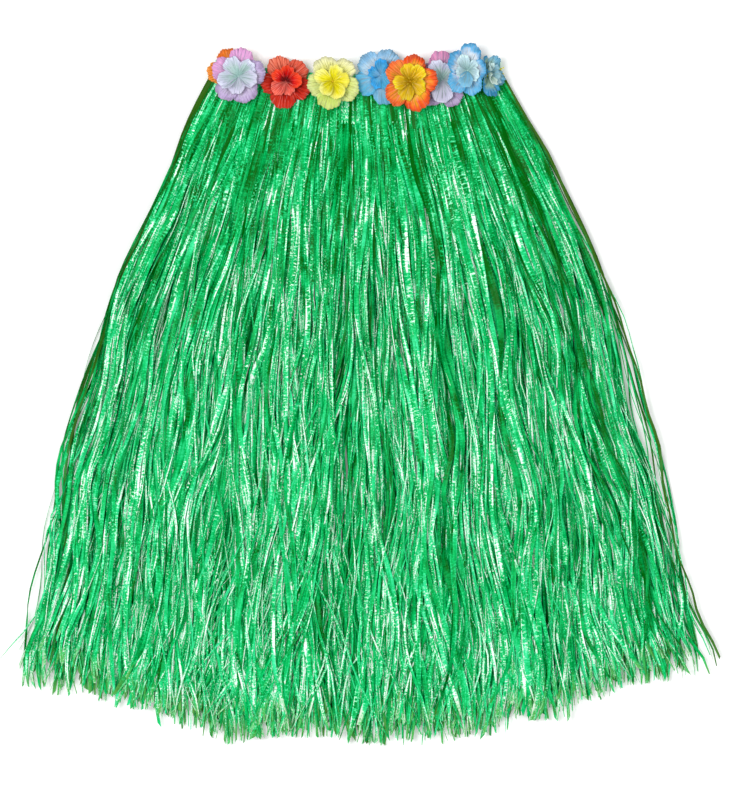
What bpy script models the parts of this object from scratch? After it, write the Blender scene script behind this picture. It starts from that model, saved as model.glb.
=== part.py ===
"""A grass skirt laid flat on its back: a gathered waistband, five layers of fringe and nine lei flowers.

Metres, +Z up. The surface it lies on is z = 0, the waist points towards +Y, and the front faces +Z.
"""

import math
import random
from collections import namedtuple

import bmesh
import bpy
from mathutils import Vector

COLLECTION_NAME = "grass_skirt"
SEAM_GAP = 0.0003

# Waistband: a gathered casing, flattened to a front run and a back run
WAIST_WIDTH = 0.276
BAND_CENTRE_X = -0.003
BAND_LOWER_Y = 0.2687
BAND_HEIGHT = 0.045
BAND_END_HEIGHT = 0.039
BAND_END_RAISE = 0.020
CASING_WALL = 0.0026
WAIST_HOLLOW = 0.0008
GATHERS = 48
GATHER_DEPTH = 0.0010
STITCH_LINE = 0.16
GATHER_CREST_ROW = 0.60
PINCHED_GATHER = 0.3
FRILLED_GATHER = 0.8
FOLD_STEPS = 5
BACK_STEPS = 12

# Fringe: its fan shape, flat on the surface. Each lock sways by a share of its pitch, and a whole
# layer drifts a little to one side and back, so that the layers cross each other below.
HEM_HALF_WIDTH = 0.318
FAN_BEND = 2.0
EDGE_OPENING = 0.07
EDGE_OPENING_POWER = 5
LAYER_NAMES = (
    "fringe_back_lower",
    "fringe_back_upper",
    "fringe_front_lower",
    "fringe_front_middle",
    "fringe_front_top",
)
FEWEST_LOCKS = 34
HEADING_THICKNESS = 0.0011
LOCK_HEIGHT_SHARE = 0.75
LOCK_TIP_WIDTH_SHARE = 0.30
WAVE_SHARE = 0.12
FEWEST_WAVES = 0.5
MOST_WAVES = 1.1
FULL_SWAY_ALONG = 0.25
LAYER_DRIFT = 0.020
LAYER_TURN = 1.7
DRIFT_WAVES = 5.0
DRIFT_TWIST = 3.0
SHORTEST_TIP = 0.955
LONGEST_TIP = 1.010
STRAY_FLICK = 0.024
STRAY_LAYERS = ("fringe_back_upper", "fringe_front_middle")
FRINGE_SEED = 7
FRONT_FACING = -0.7
WELD_DISTANCE = 0.000001

# Along a lock: share of its length, height of one layer there, and lock width as a share of its pitch
Station = namedtuple("Station", "along layer_height width_share")
LOCK_STATIONS = (
    Station(0.04, 0.0020, 0.66),
    Station(0.16, 0.0030, 0.62),
    Station(0.34, 0.0036, 0.62),
    Station(0.56, 0.0035, 0.62),
    Station(0.79, 0.0032, 0.62),
    Station(1.00, 0.0028, LOCK_TIP_WIDTH_SHARE),
)
ROOT_LAYER_HEIGHT = 0.0014
HEADING_ALONG = 0.010

# Hem outline from left to right
HemPoint = namedtuple("HemPoint", "x y")
HEM_OUTLINE = (
    HemPoint(-0.325, -0.262),
    HemPoint(-0.300, -0.286),
    HemPoint(-0.250, -0.296),
    HemPoint(-0.195, -0.309),
    HemPoint(-0.178, -0.326),
    HemPoint(-0.117, -0.337),
    HemPoint(0.000, -0.337),
    HemPoint(0.072, -0.344),
    HemPoint(0.135, -0.329),
    HemPoint(0.188, -0.318),
    HemPoint(0.256, -0.294),
    HemPoint(0.309, -0.268),
    HemPoint(0.330, -0.258),
)

# Lei flowers: two cupped corollas with a pin through them, each flower on a neck of its own height.
# The lower corner of a leaning neck settles between two gathers of the waistband.
PETALS = 5
OUTER_COLUMNS = 6
INNER_COLUMNS = 3
PETAL_WALL = 0.0010
NOTCH_DEPTH = 0.20
PETAL_ROUNDING = 0.5
RIB_HEIGHT = 0.0006
HUB_RADIUS = 0.0042
NECK_RADIUS = 0.0028
LEAN_SETTLE = 0.0006
CUP_RISE = 0.0080
CUP_POWER = 1.5
CUP_RINGS = (0.60, 1.00)
CORNERS_OF_A_QUAD = 4
INNER_SHARE = 0.54
INNER_RISE = 0.0075
INNER_POWER = 1.1
INNER_HUB_RADIUS = 0.0034
PIN_BASE_RADIUS = 0.0026
PIN_TIP_RADIUS = 0.0014
PIN_HEIGHT = 0.0045
PIN_SIDES = 8

# Place of each flower, its radius, turn and lean in degrees, the height of its neck,
# and how far and in which direction a neighbour presses its petals in. The first one
# has only its outer petals, because the second one covers its middle.
Flower = namedtuple("Flower", "name x y radius turn lean neck press press_angle outer inner pin")
ORANGE = (0.93, 0.26, 0.05)
LILAC = (0.72, 0.52, 0.80)
MINT = (0.74, 0.86, 0.84)
RED = (0.85, 0.06, 0.03)
YELLOW = (0.93, 0.89, 0.28)
DEEP_YELLOW = (0.95, 0.84, 0.05)
GOLD = (0.93, 0.66, 0.03)
BLUE = (0.24, 0.60, 0.86)
PALE_BLUE = (0.62, 0.82, 0.92)
FLOWERS = (
    Flower("flower_1", -0.1276, 0.3158, 0.0250, 20, 0, 0.000, 0.0, 0, ORANGE, None, None),
    Flower("flower_2", -0.1183, 0.3104, 0.0272, 74, 0, 0.006, 0.0, 0, LILAC, MINT, MINT),
    Flower("flower_3", -0.0728, 0.3065, 0.0250, 90, 0, 0.000, 0.0, 0, RED, RED, RED),
    Flower("flower_4", -0.0272, 0.3056, 0.0262, 126, 0, 0.010, 0.0, 0, YELLOW, DEEP_YELLOW, DEEP_YELLOW),
    Flower("flower_5", 0.0194, 0.3123, 0.0243, 60, 0, 0.000, 0.0, 0, BLUE, BLUE, PALE_BLUE),
    Flower("flower_6", 0.0475, 0.3056, 0.0262, 84, 0, 0.011, 0.0, 0, ORANGE, GOLD, GOLD),
    Flower("flower_7", 0.0786, 0.3085, 0.0245, 108, 0, 0.000, 0.20, 18, LILAC, MINT, MINT),
    Flower("flower_8", 0.1028, 0.3162, 0.0262, 96, 0, 0.010, 0.60, 0, BLUE, PALE_BLUE, MINT),
    Flower("flower_9", 0.1213, 0.3133, 0.0205, 36, 42, 0.012, 0.0, 0, BLUE, MINT, DEEP_YELLOW),
)
SEATED_ON = {"flower_2": "flower_1"}

GREEN = (0.02, 0.56, 0.20)
BAND_GREEN = (0.04, 0.50, 0.22)
FILM_ROUGHNESS = 0.30
BAND_ROUGHNESS = 0.45
PETAL_ROUGHNESS = 0.6
PIN_ROUGHNESS = 0.35


def remove_scene_objects():
    for found in list(bpy.data.objects):
        bpy.data.objects.remove(found, do_unlink=True)


def make_collection():
    collection = bpy.data.collections.new(COLLECTION_NAME)
    bpy.context.scene.collection.children.link(collection)
    return collection


def make_material(name, colour, roughness):
    material = bpy.data.materials.new(name)
    material.use_nodes = True
    shader = material.node_tree.nodes["Principled BSDF"]
    shader.inputs["Base Color"].default_value = (*colour, 1.0)
    shader.inputs["Roughness"].default_value = roughness
    shader.inputs["Metallic"].default_value = 0.0
    return material


def add_object(collection, name, bm, colour, roughness):
    """Turn a finished bmesh into a named object with its own material."""
    bmesh.ops.recalc_face_normals(bm, faces=bm.faces[:])
    mesh = bpy.data.meshes.new(name)
    bm.to_mesh(mesh)
    bm.free()
    mesh.materials.append(make_material(name + "_finish", colour, roughness))
    made = bpy.data.objects.new(name, mesh)
    collection.objects.link(made)
    return made


def interpolate(pairs, value):
    """Read a value off a list of (key, value) pairs, straight between them and past the last."""
    before, after = pairs[0], pairs[1]
    for index in range(1, len(pairs)):
        before, after = pairs[index - 1], pairs[index]
        if value <= after[0]:
            break
    share = (value - before[0]) / (after[0] - before[0])
    return before[1] + (after[1] - before[1]) * share


# Waistband


def band_y(x, share):
    """Height in the picture of the waistband at x: share 0 is its lower edge, 1 its upper edge."""
    outwards = ((x - BAND_CENTRE_X) / (WAIST_WIDTH / 2)) ** 2
    lower = BAND_LOWER_Y + BAND_END_RAISE * outwards
    height = BAND_HEIGHT + (BAND_END_HEIGHT - BAND_HEIGHT) * outwards
    return lower + share * height


def casing_columns():
    """The casing's columns, round from front left: x of the hollow's middle, direction, gather crest."""
    outer_radius = CASING_WALL + WAIST_HOLLOW / 2
    reach = WAIST_WIDTH / 2 - outer_radius
    columns = []
    for step in range(2 * GATHERS + 1):
        x = -reach + 2 * reach * step / (2 * GATHERS)
        columns.append((x, 0.0, step % 2))
    for step in range(1, FOLD_STEPS + 1):
        columns.append((reach, math.pi * step / (FOLD_STEPS + 1), 0))
    for step in range(BACK_STEPS + 1):
        x = reach - 2 * reach * step / BACK_STEPS
        columns.append((x, math.pi, 0))
    for step in range(1, FOLD_STEPS + 1):
        columns.append((-reach, math.pi + math.pi * step / (FOLD_STEPS + 1), 0))
    return columns


def casing_rows():
    """Round the wall's section: share of the band's height, distance from the hollow's middle, gather."""
    outer = CASING_WALL + WAIST_HOLLOW / 2
    inner = WAIST_HOLLOW / 2
    return (
        (1.00, outer, 1.0),
        (GATHER_CREST_ROW, outer, 1.0),
        (STITCH_LINE, outer, PINCHED_GATHER),
        (0.00, outer, FRILLED_GATHER),
        (0.00, inner, 0.0),
        (1.00, inner, 0.0),
    )


def band_top():
    """Height of the gathers' crests above the surface."""
    return 2 * CASING_WALL + WAIST_HOLLOW + GATHER_DEPTH


def build_waistband(collection):
    columns = casing_columns()
    rows = casing_rows()
    middle_z = CASING_WALL + WAIST_HOLLOW / 2
    bm = bmesh.new()
    bmesh.ops.create_grid(bm, x_segments=len(columns), y_segments=len(rows), size=1.0)
    points_across = len(columns) + 1
    for index, vert in enumerate(bm.verts):
        anchor_x, angle, crest = columns[index % points_across % len(columns)]
        share, distance, gather = rows[index // points_across % len(rows)]
        distance += GATHER_DEPTH * gather * crest
        x = BAND_CENTRE_X + anchor_x + distance * math.sin(angle)
        z = middle_z + distance * math.cos(angle)
        vert.co = Vector((x, band_y(x, share), z))
    bmesh.ops.remove_doubles(bm, verts=bm.verts[:], dist=WELD_DISTANCE)
    return add_object(collection, "waistband", bm, BAND_GREEN, BAND_ROUGHNESS)


# Fringe


def fan_point(u, along):
    """Where a strand lies in plan: u is -1 to 1 across the waist, along is 0 at its root, 1 at the hem."""
    spread = 1.0 - abs(1.0 - along) ** FAN_BEND
    waist_half = WAIST_WIDTH / 2
    half_width = waist_half + (HEM_HALF_WIDTH - waist_half) * spread
    edge_shift = EDGE_OPENING * (u ** EDGE_OPENING_POWER - u)
    opened = u + spread * edge_shift
    x = BAND_CENTRE_X * (1.0 - spread) + half_width * opened
    root_y = band_y(BAND_CENTRE_X + waist_half * u, 0.0) - SEAM_GAP
    hem_y = interpolate(HEM_OUTLINE, HEM_HALF_WIDTH * (u + edge_shift))
    return Vector((x, root_y + (hem_y - root_y) * along, 0.0))


def layer_height(along):
    """Height that one layer takes up at a share of the fringe's length."""
    pairs = [(0.0, ROOT_LAYER_HEIGHT), (HEADING_ALONG, ROOT_LAYER_HEIGHT)]
    pairs += [(station.along, station.layer_height) for station in LOCK_STATIONS]
    return interpolate(pairs, along)


def lock_ring(u, along, width_share, pitch, level):
    """The three corners of a lock's section: left and right on its flat underside, and its ridge."""
    half = pitch * width_share / 2
    base_z = level * layer_height(along)
    left = fan_point(u - half, along)
    right = fan_point(u + half, along)
    ridge = fan_point(u, along)
    left.z = base_z
    right.z = base_z
    ridge.z = base_z + LOCK_HEIGHT_SHARE * layer_height(along)
    return left, right, ridge


def move_cap(cap, ring):
    """Put an end face's low corners and its upper corner or corners on the points of a ring."""
    left, right, ridge = ring
    by_height = sorted(cap.verts, key=lambda vert: vert.co.z)
    low = sorted(by_height[:2], key=lambda vert: vert.co.x)
    low[0].co = left
    low[1].co = right
    for vert in by_height[2:]:
        vert.co = ridge


def build_heading(locks, level):
    """The narrow strip that a layer's locks grow from, with one front face for each lock."""
    bm = bmesh.new()
    bmesh.ops.create_grid(bm, x_segments=locks, y_segments=1, size=1.0)
    for index, vert in enumerate(bm.verts):
        u = -1.0 + 2.0 * (index % (locks + 1)) / locks
        along = HEADING_ALONG if index <= locks else 0.0
        vert.co = fan_point(u, along)
        vert.co.z = level * ROOT_LAYER_HEIGHT
    raised = bmesh.ops.extrude_face_region(bm, geom=bm.faces[:])
    for item in raised["geom"]:
        if isinstance(item, bmesh.types.BMVert):
            item.co.z += HEADING_THICKNESS
    bmesh.ops.recalc_face_normals(bm, faces=bm.faces[:])
    return bm


def build_fringe_layer(collection, name, level):
    """One backing strip with its row of three-sided locks, fused at their roots and apart below."""
    rng = random.Random(FRINGE_SEED + level)
    locks = FEWEST_LOCKS + level
    pitch = 2.0 / locks
    bm = build_heading(locks, level)
    caps = [face for face in bm.faces if face.normal.y < FRONT_FACING]
    phases = [rng.uniform(0.0, 2.0 * math.pi) for _ in range(locks)]
    waves = [rng.uniform(FEWEST_WAVES, MOST_WAVES) for _ in range(locks)]
    tips = [rng.uniform(SHORTEST_TIP, LONGEST_TIP) for _ in range(locks)]
    for station in LOCK_STATIONS:
        is_tip = station is LOCK_STATIONS[-1]
        caps.sort(key=lambda face: face.calc_center_median().x)
        order = {face: place for place, face in enumerate(caps)}
        caps = [new for _, new in sorted(extrude_caps(bm, caps, order))]
        for place, cap in enumerate(caps):
            u = -1.0 + pitch * (place + 0.5)
            along = tips[place] if is_tip else station.along
            turn = phases[place] + 2.0 * math.pi * waves[place] * along
            sway = math.sin(turn) * min(1.0, along / FULL_SWAY_ALONG)
            drift = math.sin(LAYER_TURN * level + DRIFT_WAVES * u + DRIFT_TWIST * along) * along
            u += WAVE_SHARE * pitch * sway + LAYER_DRIFT * drift
            ring = lock_ring(u, along, station.width_share, pitch, level)
            outermost = place in (0, locks - 1)
            if is_tip and outermost and name in STRAY_LAYERS:
                for corner in ring:
                    corner.x += math.copysign(STRAY_FLICK, u)
            move_cap(cap, ring)
        if station is LOCK_STATIONS[0]:
            cap_verts = [vert for cap in caps for vert in cap.verts]
            bmesh.ops.remove_doubles(bm, verts=cap_verts, dist=WELD_DISTANCE)
    return add_object(collection, name, bm, GREEN, FILM_ROUGHNESS)


def extrude_caps(bm, caps, order):
    """Grow each end face on its own, and give the new end faces with the old ones' places."""
    centres = {order[face]: face.calc_center_median() for face in caps}
    grown = bmesh.ops.extrude_discrete_faces(bm, faces=caps)["faces"]
    placed = []
    for face in grown:
        middle = face.calc_center_median()
        place = min(centres, key=lambda key: (centres[key] - middle).length_squared)
        placed.append((place, face))
    return placed


# Flowers


def cup_height(share, rise, power):
    """Height of a cupped corolla at a share of its radius."""
    return rise * share ** power


def petal_reach(column, columns_each):
    """Share of the full radius at a column: notched between two petals, full at a petal's middle."""
    place = column % columns_each
    return 1.0 - NOTCH_DEPTH * (1.0 - math.sin(math.pi * place / columns_each) ** PETAL_ROUNDING)


def shape_ring(verts, ring_share, flower, radius, rise, power, columns_each):
    """Move a ring of points out to its share of the petals, with every other column raised as a rib."""
    count = PETALS * columns_each
    for vert in verts:
        angle = math.atan2(vert.co.y, vert.co.x)
        column = round(angle / (2.0 * math.pi) * count) % count
        turned = angle + math.radians(flower.turn)
        toward = max(0.0, math.cos(turned - math.radians(flower.press_angle)))
        reach = radius * ring_share * petal_reach(column, columns_each)
        reach *= 1.0 - flower.press * toward ** 2
        rib = RIB_HEIGHT * ring_share * (1 if column % 2 else -1)
        vert.co.x = reach * math.cos(angle)
        vert.co.y = reach * math.sin(angle)
        vert.co.z = cup_height(ring_share, rise, power) + rib


def corolla(flower, radius, hub_radius, rise, power, columns_each):
    """A cupped, notched and ribbed disc of petals with its wall, its hub's underside at z = 0."""
    bm = bmesh.new()
    count = PETALS * columns_each
    bmesh.ops.create_circle(bm, cap_ends=True, segments=count, radius=hub_radius)
    for ring_share in CUP_RINGS:
        boundary = [edge for edge in bm.edges if edge.is_boundary]
        grown = bmesh.ops.extrude_edge_only(bm, edges=boundary)["geom"]
        verts = [item for item in grown if isinstance(item, bmesh.types.BMVert)]
        shape_ring(verts, ring_share, flower, radius, rise, power, columns_each)
    bmesh.ops.recalc_face_normals(bm, faces=bm.faces[:])
    if max(bm.faces, key=lambda face: len(face.verts)).normal.z < 0.0:
        bmesh.ops.reverse_faces(bm, faces=bm.faces[:])
    upper = bmesh.ops.extrude_face_region(bm, geom=bm.faces[:])["geom"]
    for item in upper:
        if isinstance(item, bmesh.types.BMVert):
            item.co.z += PETAL_WALL
    bmesh.ops.recalc_face_normals(bm, faces=bm.faces[:])
    return bm


def add_neck(bm, length):
    """Lengthen the hub's underside into a neck that reaches down to what carries the flower."""
    hubs = [face for face in bm.faces if len(face.verts) > CORNERS_OF_A_QUAD]
    underside = min(hubs, key=lambda face: face.calc_center_median().z)
    grown = bmesh.ops.extrude_discrete_faces(bm, faces=[underside])["faces"]
    for vert in grown[0].verts:
        vert.co.x *= NECK_RADIUS / HUB_RADIUS
        vert.co.y *= NECK_RADIUS / HUB_RADIUS
        vert.co.z -= length


def hub_height(flower):
    """Height of a flower's hub above the surface: on the waistband, or over the flower it rests on."""
    return band_top() + SEAM_GAP + flower.neck


def seat_height(flower, carrier):
    """Height of the carrier's petals where a flower's neck comes down on them."""
    offset = math.hypot(flower.x - carrier.x, flower.y - carrier.y) + NECK_RADIUS
    slope = [(HUB_RADIUS, 0.0)]
    for share in CUP_RINGS:
        slope.append((carrier.radius * share, cup_height(share, CUP_RISE, CUP_POWER)))
    return hub_height(carrier) + interpolate(slope, offset) + PETAL_WALL + RIB_HEIGHT + SEAM_GAP


def place_flower_piece(made, flower, hub_z, lift):
    """Stand a piece on its flower's axis, lifted along it from the hub."""
    lean = math.radians(flower.lean)
    axis = Vector((math.sin(lean), 0.0, math.cos(lean)))
    made.location = Vector((flower.x, flower.y, hub_z)) + axis * lift
    made.rotation_mode = "ZYX"
    made.rotation_euler = (0.0, lean, math.radians(flower.turn))


def build_flower(collection, flower, carrier):
    neck = flower.neck
    hub_z = hub_height(flower)
    if carrier:
        seat = seat_height(flower, carrier)
        hub_z = hub_height(carrier) + CUP_RISE + PETAL_WALL + 2.0 * RIB_HEIGHT
        neck = hub_z - seat
    if flower.lean:
        lean = math.radians(flower.lean)
        corner_z = band_top() + SEAM_GAP - LEAN_SETTLE
        hub_z = corner_z + neck * math.cos(lean) + NECK_RADIUS * math.sin(lean)

    outer = corolla(flower, flower.radius, HUB_RADIUS, CUP_RISE, CUP_POWER, OUTER_COLUMNS)
    if neck > 0.0:
        add_neck(outer, neck)
    made = add_object(collection, flower.name + "_outer", outer, flower.outer, PETAL_ROUGHNESS)
    place_flower_piece(made, flower, hub_z, 0.0)

    if flower.inner is None:
        return

    lift = PETAL_WALL + SEAM_GAP
    inner_radius = flower.radius * INNER_SHARE
    inner = corolla(flower, inner_radius, INNER_HUB_RADIUS, INNER_RISE, INNER_POWER, INNER_COLUMNS)
    made = add_object(collection, flower.name + "_inner", inner, flower.inner, PETAL_ROUGHNESS)
    place_flower_piece(made, flower, hub_z, lift)

    lift += PETAL_WALL + SEAM_GAP
    pin = bmesh.new()
    bmesh.ops.create_cone(
        pin,
        cap_ends=True,
        segments=PIN_SIDES,
        radius1=PIN_BASE_RADIUS,
        radius2=PIN_TIP_RADIUS,
        depth=PIN_HEIGHT,
    )
    made = add_object(collection, flower.name + "_pin", pin, flower.pin, PIN_ROUGHNESS)
    place_flower_piece(made, flower, hub_z, lift + PIN_HEIGHT / 2)


def centre_on_origin(collection):
    """Move every piece so that the middle of the skirt's footprint is at the origin."""
    bpy.context.view_layer.update()
    corners = [
        made.matrix_world @ vert.co
        for made in collection.objects
        for vert in made.data.vertices
    ]
    middle_x = (min(corner.x for corner in corners) + max(corner.x for corner in corners)) / 2
    middle_y = (min(corner.y for corner in corners) + max(corner.y for corner in corners)) / 2
    for made in collection.objects:
        made.location.x -= middle_x
        made.location.y -= middle_y


def main():
    remove_scene_objects()
    collection = make_collection()
    build_waistband(collection)
    for level, name in enumerate(LAYER_NAMES):
        build_fringe_layer(collection, name, level)
    by_name = {flower.name: flower for flower in FLOWERS}
    for flower in FLOWERS:
        build_flower(collection, flower, by_name.get(SEATED_ON.get(flower.name)))
    centre_on_origin(collection)


main()
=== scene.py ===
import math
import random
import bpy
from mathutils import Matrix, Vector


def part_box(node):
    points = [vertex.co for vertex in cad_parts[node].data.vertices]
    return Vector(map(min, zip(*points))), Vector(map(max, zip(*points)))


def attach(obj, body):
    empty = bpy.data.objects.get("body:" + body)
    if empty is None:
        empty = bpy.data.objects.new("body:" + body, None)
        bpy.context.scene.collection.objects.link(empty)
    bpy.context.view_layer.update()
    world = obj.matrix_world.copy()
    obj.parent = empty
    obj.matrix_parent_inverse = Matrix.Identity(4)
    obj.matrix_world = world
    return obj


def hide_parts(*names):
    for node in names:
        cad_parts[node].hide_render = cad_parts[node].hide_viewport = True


bl_info = {
    "name": "Grass Skirt Looks",
    "version": (1, 0, 0),
    "blender": (4, 5, 0),
    "location": "View3D > Sidebar > Grass Skirt",
    "description": "Crinkled film strips, a gathered waistband and lei flowers over the skirt's solids",
    "category": "Object",
}

from collections import namedtuple

import bmesh
import bpy
from mathutils import Matrix, Vector

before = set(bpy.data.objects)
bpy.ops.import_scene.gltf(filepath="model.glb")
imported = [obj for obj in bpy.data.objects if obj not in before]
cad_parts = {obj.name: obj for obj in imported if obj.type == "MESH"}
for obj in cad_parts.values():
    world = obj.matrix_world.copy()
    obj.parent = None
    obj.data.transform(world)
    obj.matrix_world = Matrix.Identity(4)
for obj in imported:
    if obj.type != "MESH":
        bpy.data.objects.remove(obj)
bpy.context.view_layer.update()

BODY = "root"
SHARP_ANGLE = math.radians(50.0)

# The waistband's place, read from its solid, and its own heights
BAND_LOW, BAND_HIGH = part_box("waistband")
BAND_CENTRE = (BAND_LOW + BAND_HIGH) / 2
WAIST_HALF = (BAND_HIGH.x - BAND_LOW.x) / 2
GATHER_ROOM = 0.0012
FRONT_HEIGHT = BAND_HIGH.z - GATHER_ROOM
BACK_HEIGHT = 0.0006
FOLD_RADIUS = (FRONT_HEIGHT - BACK_HEIGHT) / 2
BAND_HEIGHT = 0.045
BAND_END_HEIGHT = 0.039
BAND_END_RAISE = BAND_HIGH.y - BAND_LOW.y - BAND_END_HEIGHT

# The fan that the fringe lies in, in the solids' own sizes
SOLID_BAND_CENTRE_X = -0.003
SOLID_BAND_LOWER_Y = 0.2687
SHIFT = Vector((BAND_CENTRE.x - SOLID_BAND_CENTRE_X, BAND_LOW.y - SOLID_BAND_LOWER_Y, 0.0))
HEM_HALF_WIDTH = 0.318
FAN_BEND = 1.8
EDGE_OPENING = 0.07
FRINGE_LENGTH = 0.605
HEM_OUTLINE = (
    (-0.325, -0.274),
    (-0.297, -0.285),
    (-0.250, -0.294),
    (-0.215, -0.301),
    (-0.198, -0.300),
    (-0.178, -0.321),
    (-0.151, -0.321),
    (-0.127, -0.335),
    (-0.100, -0.328),
    (-0.030, -0.328),
    (0.018, -0.336),
    (0.050, -0.336),
    (0.068, -0.336),
    (0.092, -0.326),
    (0.115, -0.329),
    (0.140, -0.312),
    (0.164, -0.311),
    (0.188, -0.311),
    (0.212, -0.294),
    (0.261, -0.278),
    (0.309, -0.270),
    (0.330, -0.262),
)
EDGE_BOW = 0.0030
EDGE_LIMIT = 1.02
BULK_LIMIT = 0.985
EDGE_TUCK = 0.005
TUCK_IN = (0.38, 0.56)
TUCK_OUT = (0.80, 1.0)
SWEEP_FROM = -0.62
SWEEP_UNTIL = 0.0
OVER_GATHERS = 0.0020
LAYER_HEIGHTS = (
    (0.0, 0.0014),
    (0.04, 0.0020),
    (0.16, 0.0030),
    (0.34, 0.0036),
    (0.79, 0.0032),
    (1.0, 0.0028),
)

# Each fringe layer: its solid, how many strips, how light they are (the lower layers darker, as painted
# shade under the upper ones) and how much they stray
Layer = namedtuple("Layer", "node strips lightness stray seed")
LAYERS = (
    Layer("fringe_back_lower", 230, 0.26, 0.6, 11),
    Layer("fringe_back_upper", 300, 0.32, 0.8, 12),
    Layer("fringe_front_lower", 460, 0.40, 0.9, 13),
    Layer("fringe_front_middle", 640, 0.50, 1.1, 14),
    Layer("fringe_front_top", 660, 0.56, 1.2, 15),
)

# A petal's colours: at the heart, along it and at its rim, and another that some petals lean towards
Tones = namedtuple("Tones", "heart middle rim other")
ORANGE = Tones((1.00, 0.44, 0.06), (1.00, 0.36, 0.04), (1.00, 0.23, 0.02), (1.00, 0.42, 0.06))
ORANGE_RIM = Tones((0.92, 0.66, 0.03), (0.98, 0.50, 0.03), (0.92, 0.10, 0.01), (0.94, 0.22, 0.05))
LILAC = Tones((0.60, 0.68, 0.74), (0.66, 0.58, 0.76), (0.54, 0.42, 0.68), (0.88, 0.36, 0.70))
LILAC_MINT = Tones((0.58, 0.66, 0.70), (0.56, 0.52, 0.68), (0.48, 0.36, 0.58), (0.84, 0.26, 0.50))
MINT = Tones((0.36, 0.58, 0.54), (0.48, 0.65, 0.63), (0.60, 0.62, 0.78), (0.66, 0.62, 0.80))
RED = Tones((0.24, 0.00, 0.00), (0.52, 0.01, 0.00), (0.66, 0.03, 0.01), (0.92, 0.26, 0.15))
BRIGHT_RED = Tones((0.16, 0.00, 0.00), (0.74, 0.00, 0.00), (0.92, 0.05, 0.01), (0.90, 0.20, 0.15))
YELLOW = Tones((0.80, 0.78, 0.12), (0.86, 0.85, 0.30), (0.86, 0.85, 0.48), (0.50, 0.70, 0.06))
DEEP_YELLOW = Tones((0.66, 0.56, 0.00), (0.94, 0.86, 0.00), (0.96, 0.92, 0.22), (0.90, 0.78, 0.00))
GOLD = Tones((0.52, 0.36, 0.00), (0.80, 0.50, 0.00), (0.92, 0.62, 0.01), (0.56, 0.36, 0.00))
PALE_BLUE = Tones((0.74, 0.82, 0.86), (0.60, 0.78, 0.90), (0.28, 0.56, 0.82), (0.03, 0.46, 0.74))
BLUE = Tones((0.30, 0.60, 0.84), (0.10, 0.52, 0.86), (0.03, 0.34, 0.74), (0.10, 0.54, 0.80))
SKY_BLUE = Tones((0.60, 0.76, 0.86), (0.80, 0.86, 0.92), (0.10, 0.44, 0.78), (0.12, 0.50, 0.80))
ICE_BLUE = Tones((0.34, 0.56, 0.54), (0.50, 0.70, 0.72), (0.56, 0.76, 0.84), (0.06, 0.46, 0.78))
SEA_GREEN = Tones((0.30, 0.50, 0.40), (0.42, 0.62, 0.50), (0.03, 0.30, 0.56), (0.30, 0.60, 0.72))
SEA_MIST = Tones((0.26, 0.48, 0.38), (0.50, 0.70, 0.60), (0.60, 0.76, 0.70), (0.10, 0.40, 0.62))

# Each flower: its size, how it is turned, leaned and pressed (by how much, from where), the directions
# in which its outer and inner petals take their other colour, its inner petals' share of its size, and
# the colours of its outer petals, inner petals and heart. Two have stamens: how many, and how long.
Flower = namedtuple(
    "Flower",
    "name radius turn lean presses other_at inner_share outer inner heart stamens stamen_length",
    defaults=(None, None, 0, 0.0),
)
FLOWERS = (
    Flower("flower_1", 0.0238, 36, 0, ((0.08, 108),), (180, 0), 0.0, ORANGE),
    Flower("flower_2", 0.0270, 82, 0, ((-0.08, 95),), (110, 300), 0.78, LILAC, MINT, MINT),
    Flower("flower_3", 0.0256, 48, 0, ((0.04, 90), (-0.04, 270)), (90, 265), 0.66,
           RED, BRIGHT_RED, RED),
    Flower("flower_4", 0.0262, 45, 0, ((0.07, 90), (-0.12, 270)), (262, 0), 0.70,
           YELLOW, DEEP_YELLOW, GOLD),
    Flower("flower_5", 0.0256, 65, 0, ((-0.16, 270),), (222, 0), 0.58, PALE_BLUE, BLUE, BLUE),
    Flower("flower_6", 0.0262, 76, 0, ((-0.28, 270),), (150, 270), 0.70,
           ORANGE_RIM, GOLD, GOLD, 10, 0.013),
    Flower("flower_7", 0.0270, 90, 0, ((0.20, 18), (-0.12, 270)), (90, 300), 0.78,
           LILAC_MINT, MINT, MINT),
    Flower("flower_8", 0.0272, 77, 0, ((0.34, 0), (0.26, 180), (0.04, 80)), (262, 270), 0.66,
           SKY_BLUE, ICE_BLUE, MINT),
    Flower("flower_9", 0.0208, 62, 36, ((0.70, 180), (0.24, 10), (-0.10, 276)), (20, 20), 0.58,
           SEA_GREEN, SEA_MIST, DEEP_YELLOW, 4, 0.0175),
)
FIRST_HUB = (-0.1250, 0.3158)
SOLID_LEAN = 42.0
HUB_TO_PIN = 0.00485
LEANING_NECK = 0.012
NECK_RADIUS = 0.0028
HEART_RADIUS = 0.0013
PETALS = 5

# How a ring of petals is spread: lengths in metres, its turn in degrees, its jitter in radians, and how
# many ribs a petal has; power, spread, notch, rib_share, length_range and rim are powers and shares
Corolla = namedtuple(
    "Corolla", "hub rise power spread notch ribs rib_share dish pitch turn jitter length_range lift rim"
)
OUTER = Corolla(
    hub=0.0034, rise=0.0080, power=1.5, spread=1.34, notch=0.30, ribs=9, rib_share=1.0, dish=-0.0006,
    pitch=0.0026, turn=0, jitter=0.10, length_range=0.10, lift=0.0004, rim=0.70,
)
INNER = Corolla(
    hub=0.0009, rise=0.0096, power=1.1, spread=1.34, notch=0.34, ribs=3, rib_share=0.8, dish=0.0036,
    pitch=0.0052, turn=36, jitter=0.20, length_range=0.20, lift=0.0022, rim=1.25,
)


# Sizes and colours that a user would change

COLOUR = {"size": 3, "min": 0.0, "max": 1.0, "subtype": "COLOR"}


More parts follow.
